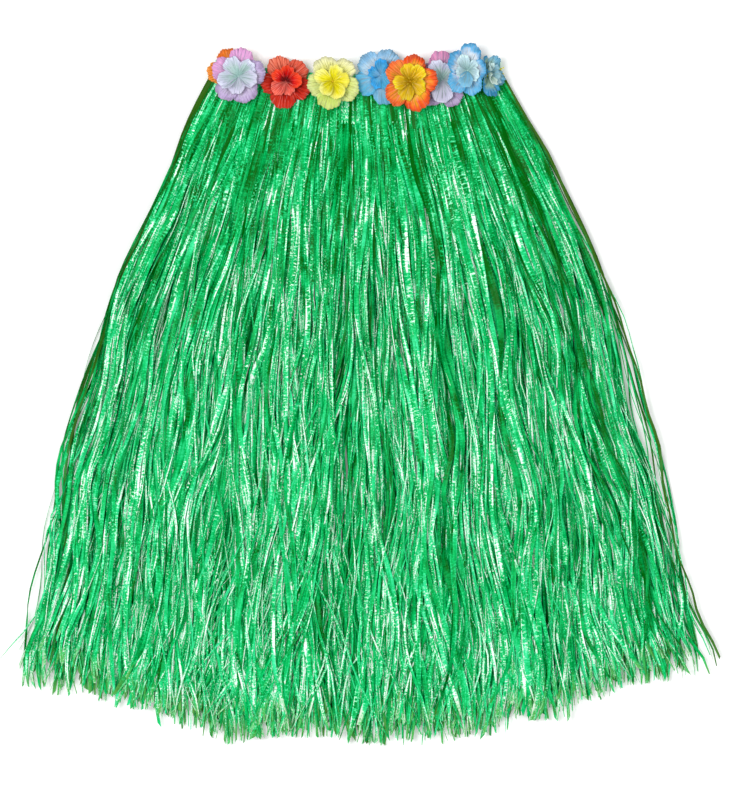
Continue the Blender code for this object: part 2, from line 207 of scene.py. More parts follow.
class FringeSettings(bpy.types.PropertyGroup):
    """Sizes and colours of the film strips."""

    strip_width: bpy.props.FloatProperty(
        name="Strip width",
        description="Width of an average strip of film",
        default=0.0037, min=0.001, max=0.02, unit="LENGTH",
    )
    strip_thickness: bpy.props.FloatProperty(
        name="Strip thickness",
        description="Thickness of a strip at its middle crease",
        default=0.0003, min=0.0001, max=0.002, unit="LENGTH",
    )
    steps: bpy.props.IntProperty(
        name="Steps",
        description="Rings along each strip",
        default=36,
        min=8,
        max=80,
    )
    crease: bpy.props.FloatProperty(
        name="Crease",
        description="Depth of a strip's lengthwise fold, as a share of its width",
        default=0.20,
        min=0.0,
        max=0.5,
        subtype="FACTOR",
    )
    sway: bpy.props.FloatProperty(
        name="Sway",
        description="How far a strip wanders to one side near the hem",
        default=0.0075, min=0.0, max=0.03, unit="LENGTH",
    )
    loft: bpy.props.FloatProperty(
        name="Loft",
        description="How far the loosest strips of the top layer stand up from it",
        default=0.007, min=0.0, max=0.02, unit="LENGTH",
    )
    olive: bpy.props.FloatVectorProperty(
        name="Edge olive",
        description="The thin strands along both edges",
        default=(0.060, 0.120, 0.008),
        **COLOUR,
    )
    tip_olive: bpy.props.FloatVectorProperty(
        name="Tip olive",
        description="Where the film's cut ends have faded",
        default=(0.200, 0.420, 0.080),
        **COLOUR,
    )
    deep: bpy.props.FloatVectorProperty(
        name="Deep green",
        description="The darkest strips",
        default=(0.000, 0.120, 0.003),
        **COLOUR,
    )
    middle: bpy.props.FloatVectorProperty(
        name="Green",
        description="Most of the strips",
        default=(0.000, 0.510, 0.118),
        **COLOUR,
    )
    light: bpy.props.FloatVectorProperty(
        name="Light green",
        description="The lightest strips",
        default=(0.050, 0.840, 0.370),
        **COLOUR,
    )
    # Painted highlight: the white that the film's colour takes where it would mirror the lights
    highlight_white: bpy.props.FloatVectorProperty(
        name="Highlight",
        description="Where the film is creased white",
        default=(0.900, 1.000, 0.930),
        **COLOUR,
    )


class BandSettings(bpy.types.PropertyGroup):
    """Sizes of the gathered waistband."""

    gather_pitch: bpy.props.FloatProperty(
        name="Gather pitch",
        description="Average distance from one gather to the next",
        default=0.0034, min=0.001, max=0.02, unit="LENGTH",
    )
    gather_depth: bpy.props.FloatProperty(
        name="Gather depth",
        description="How far an average gather stands up",
        default=0.0013, min=0.0, max=0.005, unit="LENGTH",
    )
    overhang: bpy.props.FloatProperty(
        name="Overhang",
        description="How far the casing's lower frill covers the roots of the fringe",
        default=0.0035, min=0.0, max=0.01, unit="LENGTH",
    )
    stitch_length: bpy.props.FloatProperty(
        name="Stitch length",
        description="Length of one stitch of the two gathering lines",
        default=0.0026, min=0.001, max=0.01, unit="LENGTH",
    )


class FlowerSettings(bpy.types.PropertyGroup):
    """Sizes of the lei flowers' petals."""

    petal_wall: bpy.props.FloatProperty(
        name="Petal wall",
        description="Thickness of the stiffened petal cloth",
        default=0.0004, min=0.0001, max=0.002, unit="LENGTH",
    )
    rib_height: bpy.props.FloatProperty(
        name="Rib height",
        description="Height of the pressed ribs at a petal's rim",
        default=0.00055, min=0.0, max=0.002, unit="LENGTH",
    )
    ruffle: bpy.props.FloatProperty(
        name="Ruffle",
        description="How far a petal's rim waves up and down",
        default=0.0011, min=0.0, max=0.004, unit="LENGTH",
    )


class StageSettings(bpy.types.PropertyGroup):
    """The floor, the lights and the camera."""

    view_height: bpy.props.FloatProperty(
        name="View height",
        description="Height of the picture on the surface that the skirt lies on",
        default=0.776, min=0.1, max=3.0, unit="LENGTH",
    )
    view_centre: bpy.props.FloatVectorProperty(
        name="View centre",
        description="The point of the surface at the middle of the picture, in the solids' own sizes",
        default=(0.0049, -0.0019),
        size=2,
        unit="LENGTH",
    )
    lens: bpy.props.FloatProperty(
        name="Lens",
        description="Focal length in millimetres",
        default=180.0,
        min=10.0,
        max=300.0,
    )
    light_power: bpy.props.FloatProperty(
        name="Light power",
        description="Power of the softbox overhead, in watts",
        default=36.0,
        min=0.0,
        max=500.0,
    )
    world_strength: bpy.props.FloatProperty(
        name="Room light",
        description="Strength of the even white light of the room",
        default=0.32,
        min=0.0,
        max=5.0,
    )


# Small helpers


def interpolate(pairs, value):
    """Read a value off (key, value) pairs, straight between them and past the last."""
    for before, after in zip(pairs, pairs[1:]):
        if value <= after[0]:
            break
    share = (value - before[0]) / (after[0] - before[0])
    return before[1] + (after[1] - before[1]) * share


def smooth(low, high, value):
    """0 below low, 1 above high, and a smooth step between."""
    share = max(0.0, min(1.0, (value - low) / (high - low)))
    return share * share * (3.0 - 2.0 * share)


def between(rise, fall, value):
    """A smooth step up over one range and down again over another."""
    return smooth(*rise, value) * (1.0 - smooth(*fall, value))


def finish_piece(name, bm, material, nodes=()):
    """Make a named piece of a bmesh, ride it on the skirt and give it its material."""
    mesh = bpy.data.meshes.new(name)
    bm.to_mesh(mesh)
    bm.free()
    mesh.materials.append(material)
    mesh.shade_smooth()
    mesh.set_sharp_from_angle(angle=SHARP_ANGLE)
    piece = bpy.data.objects.new(name, mesh)
    bpy.context.scene.collection.objects.link(piece)
    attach(piece, BODY)
    if nodes:
        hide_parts(*nodes)
    return piece


# What a noise mostly stays between, and how far each strip's or petal's own value moves its pattern
NOISE_RANGE = (0.30, 0.70)
STRIP_SHIFT = (13.7, 71.3)
PETAL_SHIFT = 17.0
WHITE = (1.0, 1.0, 1.0, 1.0)


class NodeTree:
    """A short way to add and join shader nodes."""

    def __init__(self, name):
        self.material = bpy.data.materials.new(name)
        self.material.use_nodes = True
        self.tree = self.material.node_tree
        self.shader = self.tree.nodes["Principled BSDF"]

    def add(self, kind, inputs=(), **settings):
        node = self.tree.nodes.new(kind)
        for key, value in settings.items():
            setattr(node, key, value)
        for key, value in dict(inputs).items():
            self.feed(value, node.inputs[key])
        return node

    def feed(self, value, socket):
        if isinstance(value, bpy.types.NodeSocket):
            self.tree.links.new(value, socket)
        else:
            socket.default_value = value

    def ramp(self, fac, stops):
        node = self.add("ShaderNodeValToRGB", {"Fac": fac})
        elements = node.color_ramp.elements
        while len(elements) < len(stops):
            elements.new(0.5)
        for element, (position, colour) in zip(elements, stops):
            element.position = position
            element.color = (*colour, 1.0)
        return node.outputs["Color"]

    def noise(self, vector, scale, detail=2.0, roughness=0.5):
        placed = self.add("ShaderNodeMapping", {"Vector": vector, "Scale": scale}).outputs["Vector"]
        inputs = {"Vector": placed, "Scale": 1.0, "Detail": detail, "Roughness": roughness}
        return self.add("ShaderNodeTexNoise", inputs).outputs["Fac"]

    def maths(self, operation, first, second=0.0):
        return self.add("ShaderNodeMath", {0: first, 1: second}, operation=operation).outputs["Value"]

    def fit(self, value, low, high, to_low=0.0, to_high=1.0):
        inputs = {"Value": value, "From Min": low, "From Max": high, "To Min": to_low, "To Max": to_high}
        return self.add("ShaderNodeMapRange", inputs, clamp=True).outputs["Result"]

    def swing(self, noise, to_low, to_high):
        """Spread a noise between two values."""
        return self.fit(noise, *NOISE_RANGE, to_low, to_high)

    def shift(self, place, across, up=0.0):
        """Move a pattern's place, so that no two strips or petals show the same part of it."""
        offset = self.add("ShaderNodeCombineXYZ", {"X": across, "Y": up}).outputs["Vector"]
        return self.add("ShaderNodeVectorMath", {0: place, 1: offset}, operation="ADD").outputs["Vector"]

    def mix(self, fac, first, second, blend="MIX"):
        node = self.add("ShaderNodeMix", {"Factor": fac}, data_type="RGBA", blend_type=blend)
        self.feed(first, node.inputs[6])
        self.feed(second, node.inputs[7])
        return node.outputs[2]

    def bump(self, height, strength, distance):
        inputs = {"Height": height, "Strength": strength, "Distance": distance}
        self.feed(self.add("ShaderNodeBump", inputs).outputs["Normal"], self.shader.inputs["Normal"])

    def surface(self, colour, roughness, specular=None):
        """Join up the shader's colour and gloss."""
        self.feed(colour, self.shader.inputs["Base Color"])
        self.feed(roughness, self.shader.inputs["Roughness"])
        if specular is not None:
            self.shader.inputs["Specular IOR Level"].default_value = specular

    def greens(self, value, settings):
        """The film's greens, from the darkest, which takes the painted shade, to the white of the painted
        highlights.
        """
        return self.ramp(value, (
            (0.04, settings.deep),
            (0.34, settings.middle),
            (0.62, settings.light),
            (1.00, settings.highlight_white),
        ))


# Fringe

# How the wisps, which are locks of strips, lean and wave: spreads, ranges and shares of them
WISPS_FROM = -1.02
WISPS_UNTIL = 1.04
WISP_STEP = (0.024, 0.080)
WISP_LEAN = 0.032
STRAY_WISP_LEAN = 0.10
STEADY_WISPS = 0.80
SWEPT_LAYERS = 2
SWEPT_WISPS = 0.5
SWEPT_LEAN = (0.08, 0.28)
WISP_WAVES = (((0.3, 1.0), (0.7, 1.6)), ((0.2, 0.7), (1.8, 3.4)))
WISP_LIGHTNESS = 0.08
WISP_REACH = 0.012

# How the strips lie in plan: zones across the fan, then how they are pulled together, lean, wave, flick
# and bow, and the stretches along a strip where they do
EDGE_ZONE = (0.945, 0.995)
SIDE_ZONE = (0.85, 0.97)
BOW_ZONE = (0.88, 1.0)
STRAND_EDGE = 0.4
THINNED_AT_EDGE = 0.45
PULL = (0.25, 0.80)
EDGE_FREEDOM = 0.7
PULLED_IN = (0.06, 0.30)
LET_OUT = (0.60, 1.0)
LET_OUT_SHARE = 0.5
STRIP_LEAN = 0.028
STRIP_WAVES = (((0.2, 0.7), (0.5, 1.2)), ((0.1, 0.6), (1.6, 3.4)), ((0.0, 0.28), (4.0, 9.0)))
SIDE_CALM = 0.2
ROOT_SWAY = 0.46
SWAY_STARTS = (-0.05, 0.10)
SWAY_GROWS = (0.05, 0.70)
FLICK = 0.007
EDGE_FLICK = (-0.004, 0.022)
FLICK_ZONE = (0.88, 1.0)
BOW = (0.3, 1.0)
BOW_OUT = (0.0, 0.10)
BOW_BACK = (0.40, 0.90)
BOW_RAISE = (0.0, 0.2)
END = 0.970
END_SPREAD = 0.016

# Where the top layer's roots are sewn over the band's front, and where they leave it bare, across the fan
ROOT_OVER_BAND = (0.030, 0.052)
MOST_BARE = 0.85
BARE_FROM = (-0.26, -0.10)
BARE_UNTIL = (0.20, 0.36)

# How high the strips lie
EDGE_FLATNESS = 0.35
ORDER_FROM = 0.10
ORDER_SPAN = 0.80
ORDER_OVER_BAND = 0.0008
BAND_RAMP = (0.005, 0.07)
LOFT_RARITY = 3
LOFT_POWER = 0.7
QUIVER = 0.0005
QUIVER_WAVES = 2.3
QUIVER_ZONE = (0.0, 0.1)

# How a strip rolls and flips over, and how its section changes
FILM_HALF_WIDTH = 0.0023
FIBRES = 0.26
FIBRE_WIDTH = 0.42
FIBRE_LEAN = 0.12
FIBRE_LIGHTNESS = 0.15
WIDTH_SPREAD = 0.32
EDGE_NARROWING = 0.46
ROOT_WIDTH = 1.25
WIDTH_LOSS = 0.35
WIDTH_LOSS_ZONE = (0.0, 0.35)
WIDTH_SWELL = 0.22
WIDTH_WAVES = 2.7
ROLL = 0.30
ROLL_SWING = (0.2, 0.9)
ROLL_WAVES = (1.5, 5.0)
ROLL_GROWS = (0.02, 0.35)
FLIPPED = 0.40
FLIP_AT = (0.15, 1.0)
FLIP_LENGTH = (0.03, 0.08)
PAST_THE_END = 2.0
CREASE_SIZES = (0.35, 1.5)
CREASE_SIDES = (1.0, 1.0, -1.0)
CREASE_SWELL = 0.25
CREASE_WAVES = 1.3
TIP_ZONE = (0.955, 1.0)
TAPER = (0.25, 0.9)
CUT = 2.0
CUT_ZONE = (0.985, 1.0)

# How light the strips are, and how dull the strands at both edges
LIGHTNESS_SPREAD = 0.17
LEAST_LIGHTNESS = 0.14
DULLNESS = (0.3, 1.0)
DULLEST_TINT = 0.04


def band_y(x, share):
    """Height in the picture of the waistband at x: share 0 is its lower edge, 1 its upper edge."""
    outwards = ((x - BAND_CENTRE.x) / WAIST_HALF) ** 2
    lower = BAND_LOW.y + BAND_END_RAISE * outwards
    height = BAND_HEIGHT + (BAND_END_HEIGHT - BAND_HEIGHT) * outwards
    return lower + share * height


def fan_point(u, along, start):
    """Where a strand lies in plan: u is -1 to 1 across the waist, along is 0 at its root, 1 at the hem."""
    spread = 1.0 - (1.0 - max(0.0, along - start) / (1.0 - start)) ** FAN_BEND
    half_width = WAIST_HALF + (HEM_HALF_WIDTH - WAIST_HALF) * spread
    half_width -= EDGE_TUCK * between(TUCK_IN, TUCK_OUT, along)
    opened = u + spread * EDGE_OPENING * (u ** 5 - u)
    x = SOLID_BAND_CENTRE_X * (1.0 - spread) + half_width * opened + SHIFT.x
    root_y = band_y(BAND_CENTRE.x + WAIST_HALF * u, 0.0)
    hem_y = interpolate(HEM_OUTLINE, HEM_HALF_WIDTH * (u + EDGE_OPENING * (u ** 5 - u))) + SHIFT.y
    return Vector((x, root_y + (hem_y - root_y) * along, 0.0))


def strip_template(steps):
    """A straight strip with a four-cornered section: x across, y up, z along, each about one unit."""
    bm = bmesh.new()
    film = bm.loops.layers.uv.new("film")
    end = bmesh.ops.create_circle(bm, cap_ends=True, segments=4, radius=1.0)["verts"][0].link_faces[:]
    for _ in range(steps):
        end = bmesh.ops.extrude_discrete_faces(bm, faces=end)["faces"]
        for vert in end[0].verts:
            vert.co.z += 1.0 / steps
    bmesh.ops.holes_fill(bm, edges=bm.edges[:], sides=4)
    bmesh.ops.recalc_face_normals(bm, faces=bm.faces[:])
    for face in bm.faces:
        for loop in face.loops:
            loop[film].uv = (loop.vert.co.x * FILM_HALF_WIDTH, loop.vert.co.z * FRINGE_LENGTH)
    mesh = bpy.data.meshes.new("strip_template")
    bm.to_mesh(mesh)
    bm.free()
    return mesh


def waves_of(rng, kinds):
    """Random waves along a strip, each with its size, its count along the whole length and its phase."""
    return [
        (rng.uniform(*sizes), rng.uniform(*counts), rng.uniform(0.0, math.tau))
        for sizes, counts in kinds
    ]


def wave_sum(waves, along):
    return sum(size * math.sin(math.tau * count * along + phase) for size, count, phase in waves)


class Wisp:
    """A lock of strips that lean and wave together."""

    def __init__(self, rng, centre, stray, swept):
        self.centre = centre
        self.lean = rng.gauss(0.0, WISP_LEAN if rng.random() < STEADY_WISPS else STRAY_WISP_LEAN) * stray
        if swept and SWEEP_FROM < centre < SWEEP_UNTIL and rng.random() < SWEPT_WISPS:
            self.lean -= rng.uniform(*SWEPT_LEAN)
        self.waves = waves_of(rng, WISP_WAVES)
        self.lightness = rng.gauss(0.0, WISP_LIGHTNESS)
        self.reach = rng.gauss(0.0, WISP_REACH)


class Strip:
    """One film strip: where it starts, how it wanders, rolls and folds, and how light it is."""

    def __init__(self, rng, layer, level, place, wisps, settings):
        top = level == len(LAYERS) - 1
        self.level = level
        self.order = rng.random()
        self.u = -1.0 + 2.0 * (place + rng.random()) / layer.strips
        self.edge = smooth(*EDGE_ZONE, abs(self.u))
        fibre = rng.random() < FIBRES * layer.stray
        self.width = settings.strip_width * rng.lognormvariate(0.0, WIDTH_SPREAD)
        self.width *= 1.0 - EDGE_NARROWING * self.edge
        if fibre:
            self.width *= FIBRE_WIDTH
        self.wisp = min(wisps, key=lambda wisp: abs(wisp.centre - self.u))
        self.pull = rng.uniform(*PULL) * (1.0 - EDGE_FREEDOM * self.edge)
        self.lean = rng.gauss(0.0, FIBRE_LEAN if fibre else STRIP_LEAN) * layer.stray
        self.waves = waves_of(rng, STRIP_WAVES)
        self.sway = settings.sway * layer.stray * (1.0 - SIDE_CALM * smooth(*SIDE_ZONE, abs(self.u)))
        self.roll = rng.gauss(0.0, ROLL)
        self.roll_swing = rng.uniform(*ROLL_SWING)
        self.roll_waves = rng.uniform(*ROLL_WAVES)
        self.roll_phase = rng.uniform(0.0, math.tau)
        self.flip_at = rng.uniform(*FLIP_AT) if rng.random() < FLIPPED else PAST_THE_END
        self.flip_length = rng.uniform(*FLIP_LENGTH)
        self.crease = settings.crease * rng.uniform(*CREASE_SIZES) * rng.choice(CREASE_SIDES)
        self.crease_phase = rng.uniform(0.0, math.tau)
        self.start = 0.0
        if top and rng.random() > MOST_BARE * between(BARE_FROM, BARE_UNTIL, self.u):
            self.start = -rng.uniform(*ROOT_OVER_BAND)
        self.end = min(1.0, rng.gauss(END, END_SPREAD) + self.wisp.reach)
        self.flick = rng.gauss(0.0, FLICK)
        self.limit = BULK_LIMIT
        if self.edge > STRAND_EDGE:
            self.flick += math.copysign(rng.uniform(*EDGE_FLICK), self.u)
            self.limit = EDGE_LIMIT
        self.cut = rng.uniform(-CUT, CUT)
        self.taper = rng.uniform(*TAPER)
        self.thickness = settings.strip_thickness
        self.loft = settings.loft * self.order ** LOFT_RARITY if top else 0.0
        self.bow = rng.uniform(*BOW) * math.copysign(EDGE_BOW, self.u) * smooth(*BOW_ZONE, abs(self.u))
        # The lower layers are darker: painted shade under the upper ones, on top of each strip's own random
        # tone
        lightness = rng.gauss(layer.lightness, LIGHTNESS_SPREAD) + self.wisp.lightness
        lightness = max(LEAST_LIGHTNESS, min(1.0, lightness + (FIBRE_LIGHTNESS if fibre else 0.0)))
        dullness = self.edge * rng.uniform(*DULLNESS)
        self.tint = lightness * (1.0 - dullness) + DULLEST_TINT * dullness

    def middle(self, along):
        """The strip's centre line."""
        gathered = smooth(*PULLED_IN, along) - LET_OUT_SHARE * smooth(*LET_OUT, along)
        u = self.u + (self.wisp.centre - self.u) * self.pull * gathered
        u += (self.lean + self.wisp.lean) * along * along
        u = max(-self.limit, min(self.limit, u))
        point = fan_point(u, along, self.start)
        reach = (ROOT_SWAY + (1.0 - ROOT_SWAY) * smooth(*SWAY_GROWS, along)) * smooth(*SWAY_STARTS, along)
        sway = wave_sum(self.waves, along) + wave_sum(self.wisp.waves, along)
        point.x += self.sway * sway * reach + self.flick * smooth(*FLICK_ZONE, along)
        point.x += self.bow * between(BOW_OUT, BOW_BACK, along)
        point.y += abs(self.bow) * (1.0 - smooth(*BOW_RAISE, along))
        height = interpolate(LAYER_HEIGHTS, along) * (1.0 - EDGE_FLATNESS * self.edge)
        point.z = (self.level + ORDER_FROM + ORDER_SPAN * self.order) * height
        if self.start < 0.0:
            over_band = FRONT_HEIGHT + OVER_GATHERS + ORDER_OVER_BAND * self.order
            point.z = max(point.z, over_band * (1.0 - smooth(*BAND_RAMP, along)))
        point.z += self.loft * math.sin(math.pi * max(0.0, min(1.0, along))) ** LOFT_POWER
        quiver = QUIVER * math.sin(math.tau * QUIVER_WAVES * along + self.crease_phase)
        point.z += quiver * smooth(*QUIVER_ZONE, along)
        return point

    def rings(self, steps):
        """The four corners of every section, by their place in the template: left, up, right, down."""
        alongs = [self.start + (self.end - self.start) * step / steps for step in range(steps + 1)]
        middles = [self.middle(along) for along in alongs]
        return [
            self.ring(alongs[step], point, middles[min(steps, step + 1)] - middles[max(0, step - 1)])
            for step, point in enumerate(middles)
        ]

    def ring(self, along, point, direction):
        """One section, square to the strip's direction and rolled about it."""
        tangent = direction.normalized()
        side = tangent.cross(Vector((0.0, 0.0, 1.0))).normalized()
        above = side.cross(tangent)
        roll = self.roll + self.roll_swing * math.sin(self.roll_waves * math.tau * along + self.roll_phase)
        roll *= smooth(*ROLL_GROWS, along)
        roll += math.pi * smooth(self.flip_at - self.flip_length, self.flip_at + self.flip_length, along)
        across = side * math.cos(roll) + above * math.sin(roll)
        facing = above * math.cos(roll) - side * math.sin(roll)
        near_tip = smooth(*TIP_ZONE, along / self.end)
        half = self.width / 2 * (ROOT_WIDTH - WIDTH_LOSS * smooth(*WIDTH_LOSS_ZONE, along))
        half *= 1.0 - (1.0 - self.taper) * near_tip
        half *= 1.0 + WIDTH_SWELL * math.sin(math.tau * WIDTH_WAVES * along + self.roll_phase)
        swell = math.sin(math.tau * CREASE_WAVES * along + self.crease_phase)
        fold = self.crease * half * 2.0 * (1.0 - CREASE_SWELL + CREASE_SWELL * swell)
        lift = half * abs(math.sin(roll)) + abs(fold) + self.thickness
        point = Vector((point.x, point.y, max(point.z, lift)))
        slant = tangent * self.cut * half * smooth(*CUT_ZONE, along / self.end)
        return {
            (-1, 0): point - across * half - slant - facing * fold * 0.5,
            (0, 1): point + facing * (fold * 0.5 + self.thickness / 2),
            (1, 0): point + across * half + slant - facing * fold * 0.5,
            (0, -1): point + facing * (fold * 0.5 - self.thickness / 2),
        }


def film_material(settings):
    """Crinkled glossy film: a green for each strip, with painted white highlights in streaks and on fine
    cross wrinkles, and painted light and shade along creases and twists.
    """
    tree = NodeTree("crinkled_green_film")
    tint = tree.add("ShaderNodeAttribute", attribute_name="tint").outputs["Fac"]
    uv = tree.add("ShaderNodeUVMap", uv_map="film").outputs["UV"]
    across, up = (tree.maths("MULTIPLY", tint, size) for size in STRIP_SHIFT)
    place = tree.shift(uv, across, up)
    wrinkles = tree.noise(place, (270.0, 560.0, 1.0), 3.0, 0.70)
    creases = tree.noise(place, (430.0, 15.0, 1.0), 2.0)
    patches = tree.noise(place, (60.0, 22.0, 1.0), 2.0)
    shading = tree.noise(place, (50.0, 34.0, 1.0), 1.0)
    # Painted highlights: white streaks along the creases, broken by the wrinkles, and white glints on the
    # wrinkles
    highlight_streaks = tree.maths("MULTIPLY", tree.fit(creases, 0.51, 0.59), tree.fit(patches, 0.46, 0.58))
    highlight_breaks = tree.fit(wrinkles, 0.40, 0.50, 0.10, 1.0)
    glint_specks = tree.maths("MULTIPLY", tree.fit(wrinkles, 0.53, 0.61), tree.fit(patches, 0.38, 0.56))
    highlight_streaks = tree.maths("MULTIPLY", highlight_streaks, highlight_breaks)
    painted_highlights = tree.maths("MAXIMUM", highlight_streaks, tree.maths("MULTIPLY", glint_specks, 0.62))
    along = tree.add("ShaderNodeSeparateXYZ", {"Vector": uv}).outputs["Y"]
    # The painted highlights fall on the lighter, upper strips, and less near the roots
    painted_highlights = tree.maths("MULTIPLY", painted_highlights, tree.fit(tint, 0.29, 0.61, 0.0, 1.12))
    painted_highlights = tree.maths("MULTIPLY", painted_highlights, tree.fit(along, 0.0, FRINGE_LENGTH * 0.3, 0.55, 1.0))
    value = tree.maths("ADD", tree.fit(tint, 0.0, 1.0, 0.05, 0.56), painted_highlights)
    # Painted light and shade: lighter and darker along the creases, the twists and the wrinkles, darker
    # towards the roots by the band, and a little lighter towards the tips
    for part in (
        tree.swing(creases, -0.12, 0.12),
        tree.swing(shading, -0.17, 0.15),
        tree.swing(wrinkles, -0.11, 0.11),
        tree.fit(along, 0.0, FRINGE_LENGTH * 0.5, -0.18, 0.01),
        tree.fit(along, FRINGE_LENGTH * 0.85, FRINGE_LENGTH, 0.0, 0.05),
    ):
        value = tree.maths("ADD", value, part)
    greens = tree.greens(value, settings)
    edge = tree.fit(tint, 0.05, 0.12, 1.0, 0.0)
    tip = tree.fit(along, FRINGE_LENGTH * 0.966, FRINGE_LENGTH * 0.99, 0.0, 0.45)
    tip = tree.maths("MULTIPLY", tip, tree.fit(patches, 0.42, 0.52))
    olive = tree.mix(tip, greens, (*settings.tip_olive, 1.0))
    colour = tree.mix(edge, olive, (*settings.olive, 1.0))
    tree.surface(colour, tree.swing(wrinkles, 0.16, 0.34), specular=0.05)
    height = tree.maths("ADD", tree.maths("MULTIPLY", creases, 1.2), wrinkles)
    tree.bump(height, 0.6, 0.0006)
    return tree.material


def build_fringe_layer(layer, level, settings, template, material):
    """One layer of film strips, each a copy of the template bent along its own way."""
    rng = random.Random(layer.seed)
    wisps = []
    centre = WISPS_FROM
    while centre < WISPS_UNTIL:
        wisps.append(Wisp(rng, centre, layer.stray, level >= len(LAYERS) - SWEPT_LAYERS))
        centre += rng.uniform(*WISP_STEP)
    order = [
        (round(vert.co.z * settings.steps), (round(vert.co.x), round(vert.co.y)))
        for vert in template.vertices
    ]
    bm = bmesh.new()
    tint = bm.verts.layers.float.new("tint")
    for place in range(layer.strips):
        strip = Strip(rng, layer, level, place, wisps, settings)
        if rng.random() < THINNED_AT_EDGE * strip.edge:
            continue
        first = len(bm.verts)
        bm.from_mesh(template)
        bm.verts.ensure_lookup_table()
        rings = strip.rings(settings.steps)
        for index, (step, corner) in enumerate(order):
            vert = bm.verts[first + index]
            vert.co = rings[step][corner]
            vert[tint] = strip.tint
    return finish_piece(layer.node.replace("fringe", "film"), bm, material, (layer.node,))


class SKIRT_OT_fringe(bpy.types.Operator):
    """Make the five layers of crinkled film strips"""

    bl_idname = "skirt.fringe"
    bl_label = "Fringe"

    def execute(self, context):
        settings = context.scene.skirt_fringe
        template = strip_template(settings.steps)
        material = film_material(settings)
        for level, layer in enumerate(LAYERS):
            build_fringe_layer(layer, level, settings, template, material)
        bpy.data.meshes.remove(template)
        return {"FINISHED"}


# Waistband

BAND_SEED = 3
BAND_ROWS = 18
STEPS_PER_GATHER = 5
BACK_COLUMNS = 150
FOLD_COLUMNS = 6
CLOTH_THICKNESS = 0.00035
MERGE_DISTANCE = 0.00001

# The gathers: ranges of their heights and spacing, how sharp they are and how they drift up the band
GATHER_SIZES = (0.55, 1.25)
GATHER_STEPS = (0.65, 1.4)
GATHER_SHARPNESS = 0.7
GATHER_DRIFT = 0.0006
DRIFT_UP = 9.0
DRIFT_ALONG = 80.0
FOLD_EASE = 0.006
BACK_RIPPLE = 0.0003
BACK_RIPPLE_RATE = 1900.0

# The two stitch lines, as shares of the band's height, and how they hold the gathers down
STITCH_LINES = (0.17, 0.80)
STITCH_REACH = 0.10
PINCHED = 0.30
PINCH_DEPTH = 0.0005
FRILL_RISE = 0.0016
FOLD_FRILL = 0.4
STITCH_GAP = 0.5
STITCH_INSET = 0.006
STITCH_RAISE = 0.0001
THREAD_RADIUS = 0.00028
THREAD_SIDES = 6


def gather_crests(rng, pitch):
    """Uneven places of the gathers across the front, each with its height."""
    crests = []
    x = -WAIST_HALF
    while x < WAIST_HALF + pitch:
        crests.append((x, rng.uniform(*GATHER_SIZES)))
        x += pitch * rng.uniform(*GATHER_STEPS)
    return crests


def gather_height(crests, x):
    """0 in the valleys between gathers, up to about 1 on a crest: round crests and sharp valleys."""
    for (left, left_size), (right, right_size) in zip(crests, crests[1:]):
        if x <= right:
            share = (x - left) / (right - left)
            size = left_size + (right_size - left_size) * share
            return size * (1.0 - math.sin(math.pi * max(0.0, share))) ** GATHER_SHARPNESS
    return 0.0


def pinch(share):
    """How far the gathers stand at a share of the band's height: held down along the stitch lines."""
    nearest = min(abs(share - line) for line in STITCH_LINES)
    return PINCHED + (1.0 - PINCHED) * smooth(0.0, STITCH_REACH, nearest)


def frill(share):
    """1 at the casing's lower edge, down to 0 at the lower stitch line."""
    return max(0.0, 1.0 - share / STITCH_LINES[0])


def front_point(settings, crests, x, share):
    """A point of the band's front: x from its middle, share 0 at the lower frill, 1 at the top."""
    drift = GATHER_DRIFT * math.sin(DRIFT_UP * share + DRIFT_ALONG * x)
    raised = settings.gather_depth * gather_height(crests, x + drift) * pinch(share)
    near_fold = smooth(0.0, FOLD_EASE, WAIST_HALF - FOLD_RADIUS - abs(x))
    z = FRONT_HEIGHT + (raised - PINCH_DEPTH * (1.0 - pinch(share))) * near_fold + FRILL_RISE * frill(share)
    y = band_y(BAND_CENTRE.x + x, share) - settings.overhang * frill(share)
    return Vector((BAND_CENTRE.x + x, y, z))


def band_columns(crests):
    """The columns round the tube: the front's take only x, then come the right fold, back and left fold."""
    reach = WAIST_HALF - FOLD_RADIUS
    middle_height = (FRONT_HEIGHT + BACK_HEIGHT) / 2
    front_steps = STEPS_PER_GATHER * len(crests)
    columns = [("front", -reach + 2.0 * reach * step / front_steps, 0.0) for step in range(front_steps)]
    for side in (1.0, -1.0):
        for step in range(FOLD_COLUMNS):
            angle = side * math.pi * (0.5 - step / FOLD_COLUMNS)
            x = side * (reach + FOLD_RADIUS * math.cos(angle))
            columns.append(("fold", x, middle_height + FOLD_RADIUS * math.sin(angle)))
        if side > 0:
            for step in range(BACK_COLUMNS):
                x = reach - 2.0 * reach * step / BACK_COLUMNS
                ripple = BACK_RIPPLE * (1.0 + math.sin(BACK_RIPPLE_RATE * x))
                columns.append(("back", x, BACK_HEIGHT + ripple))
    return columns


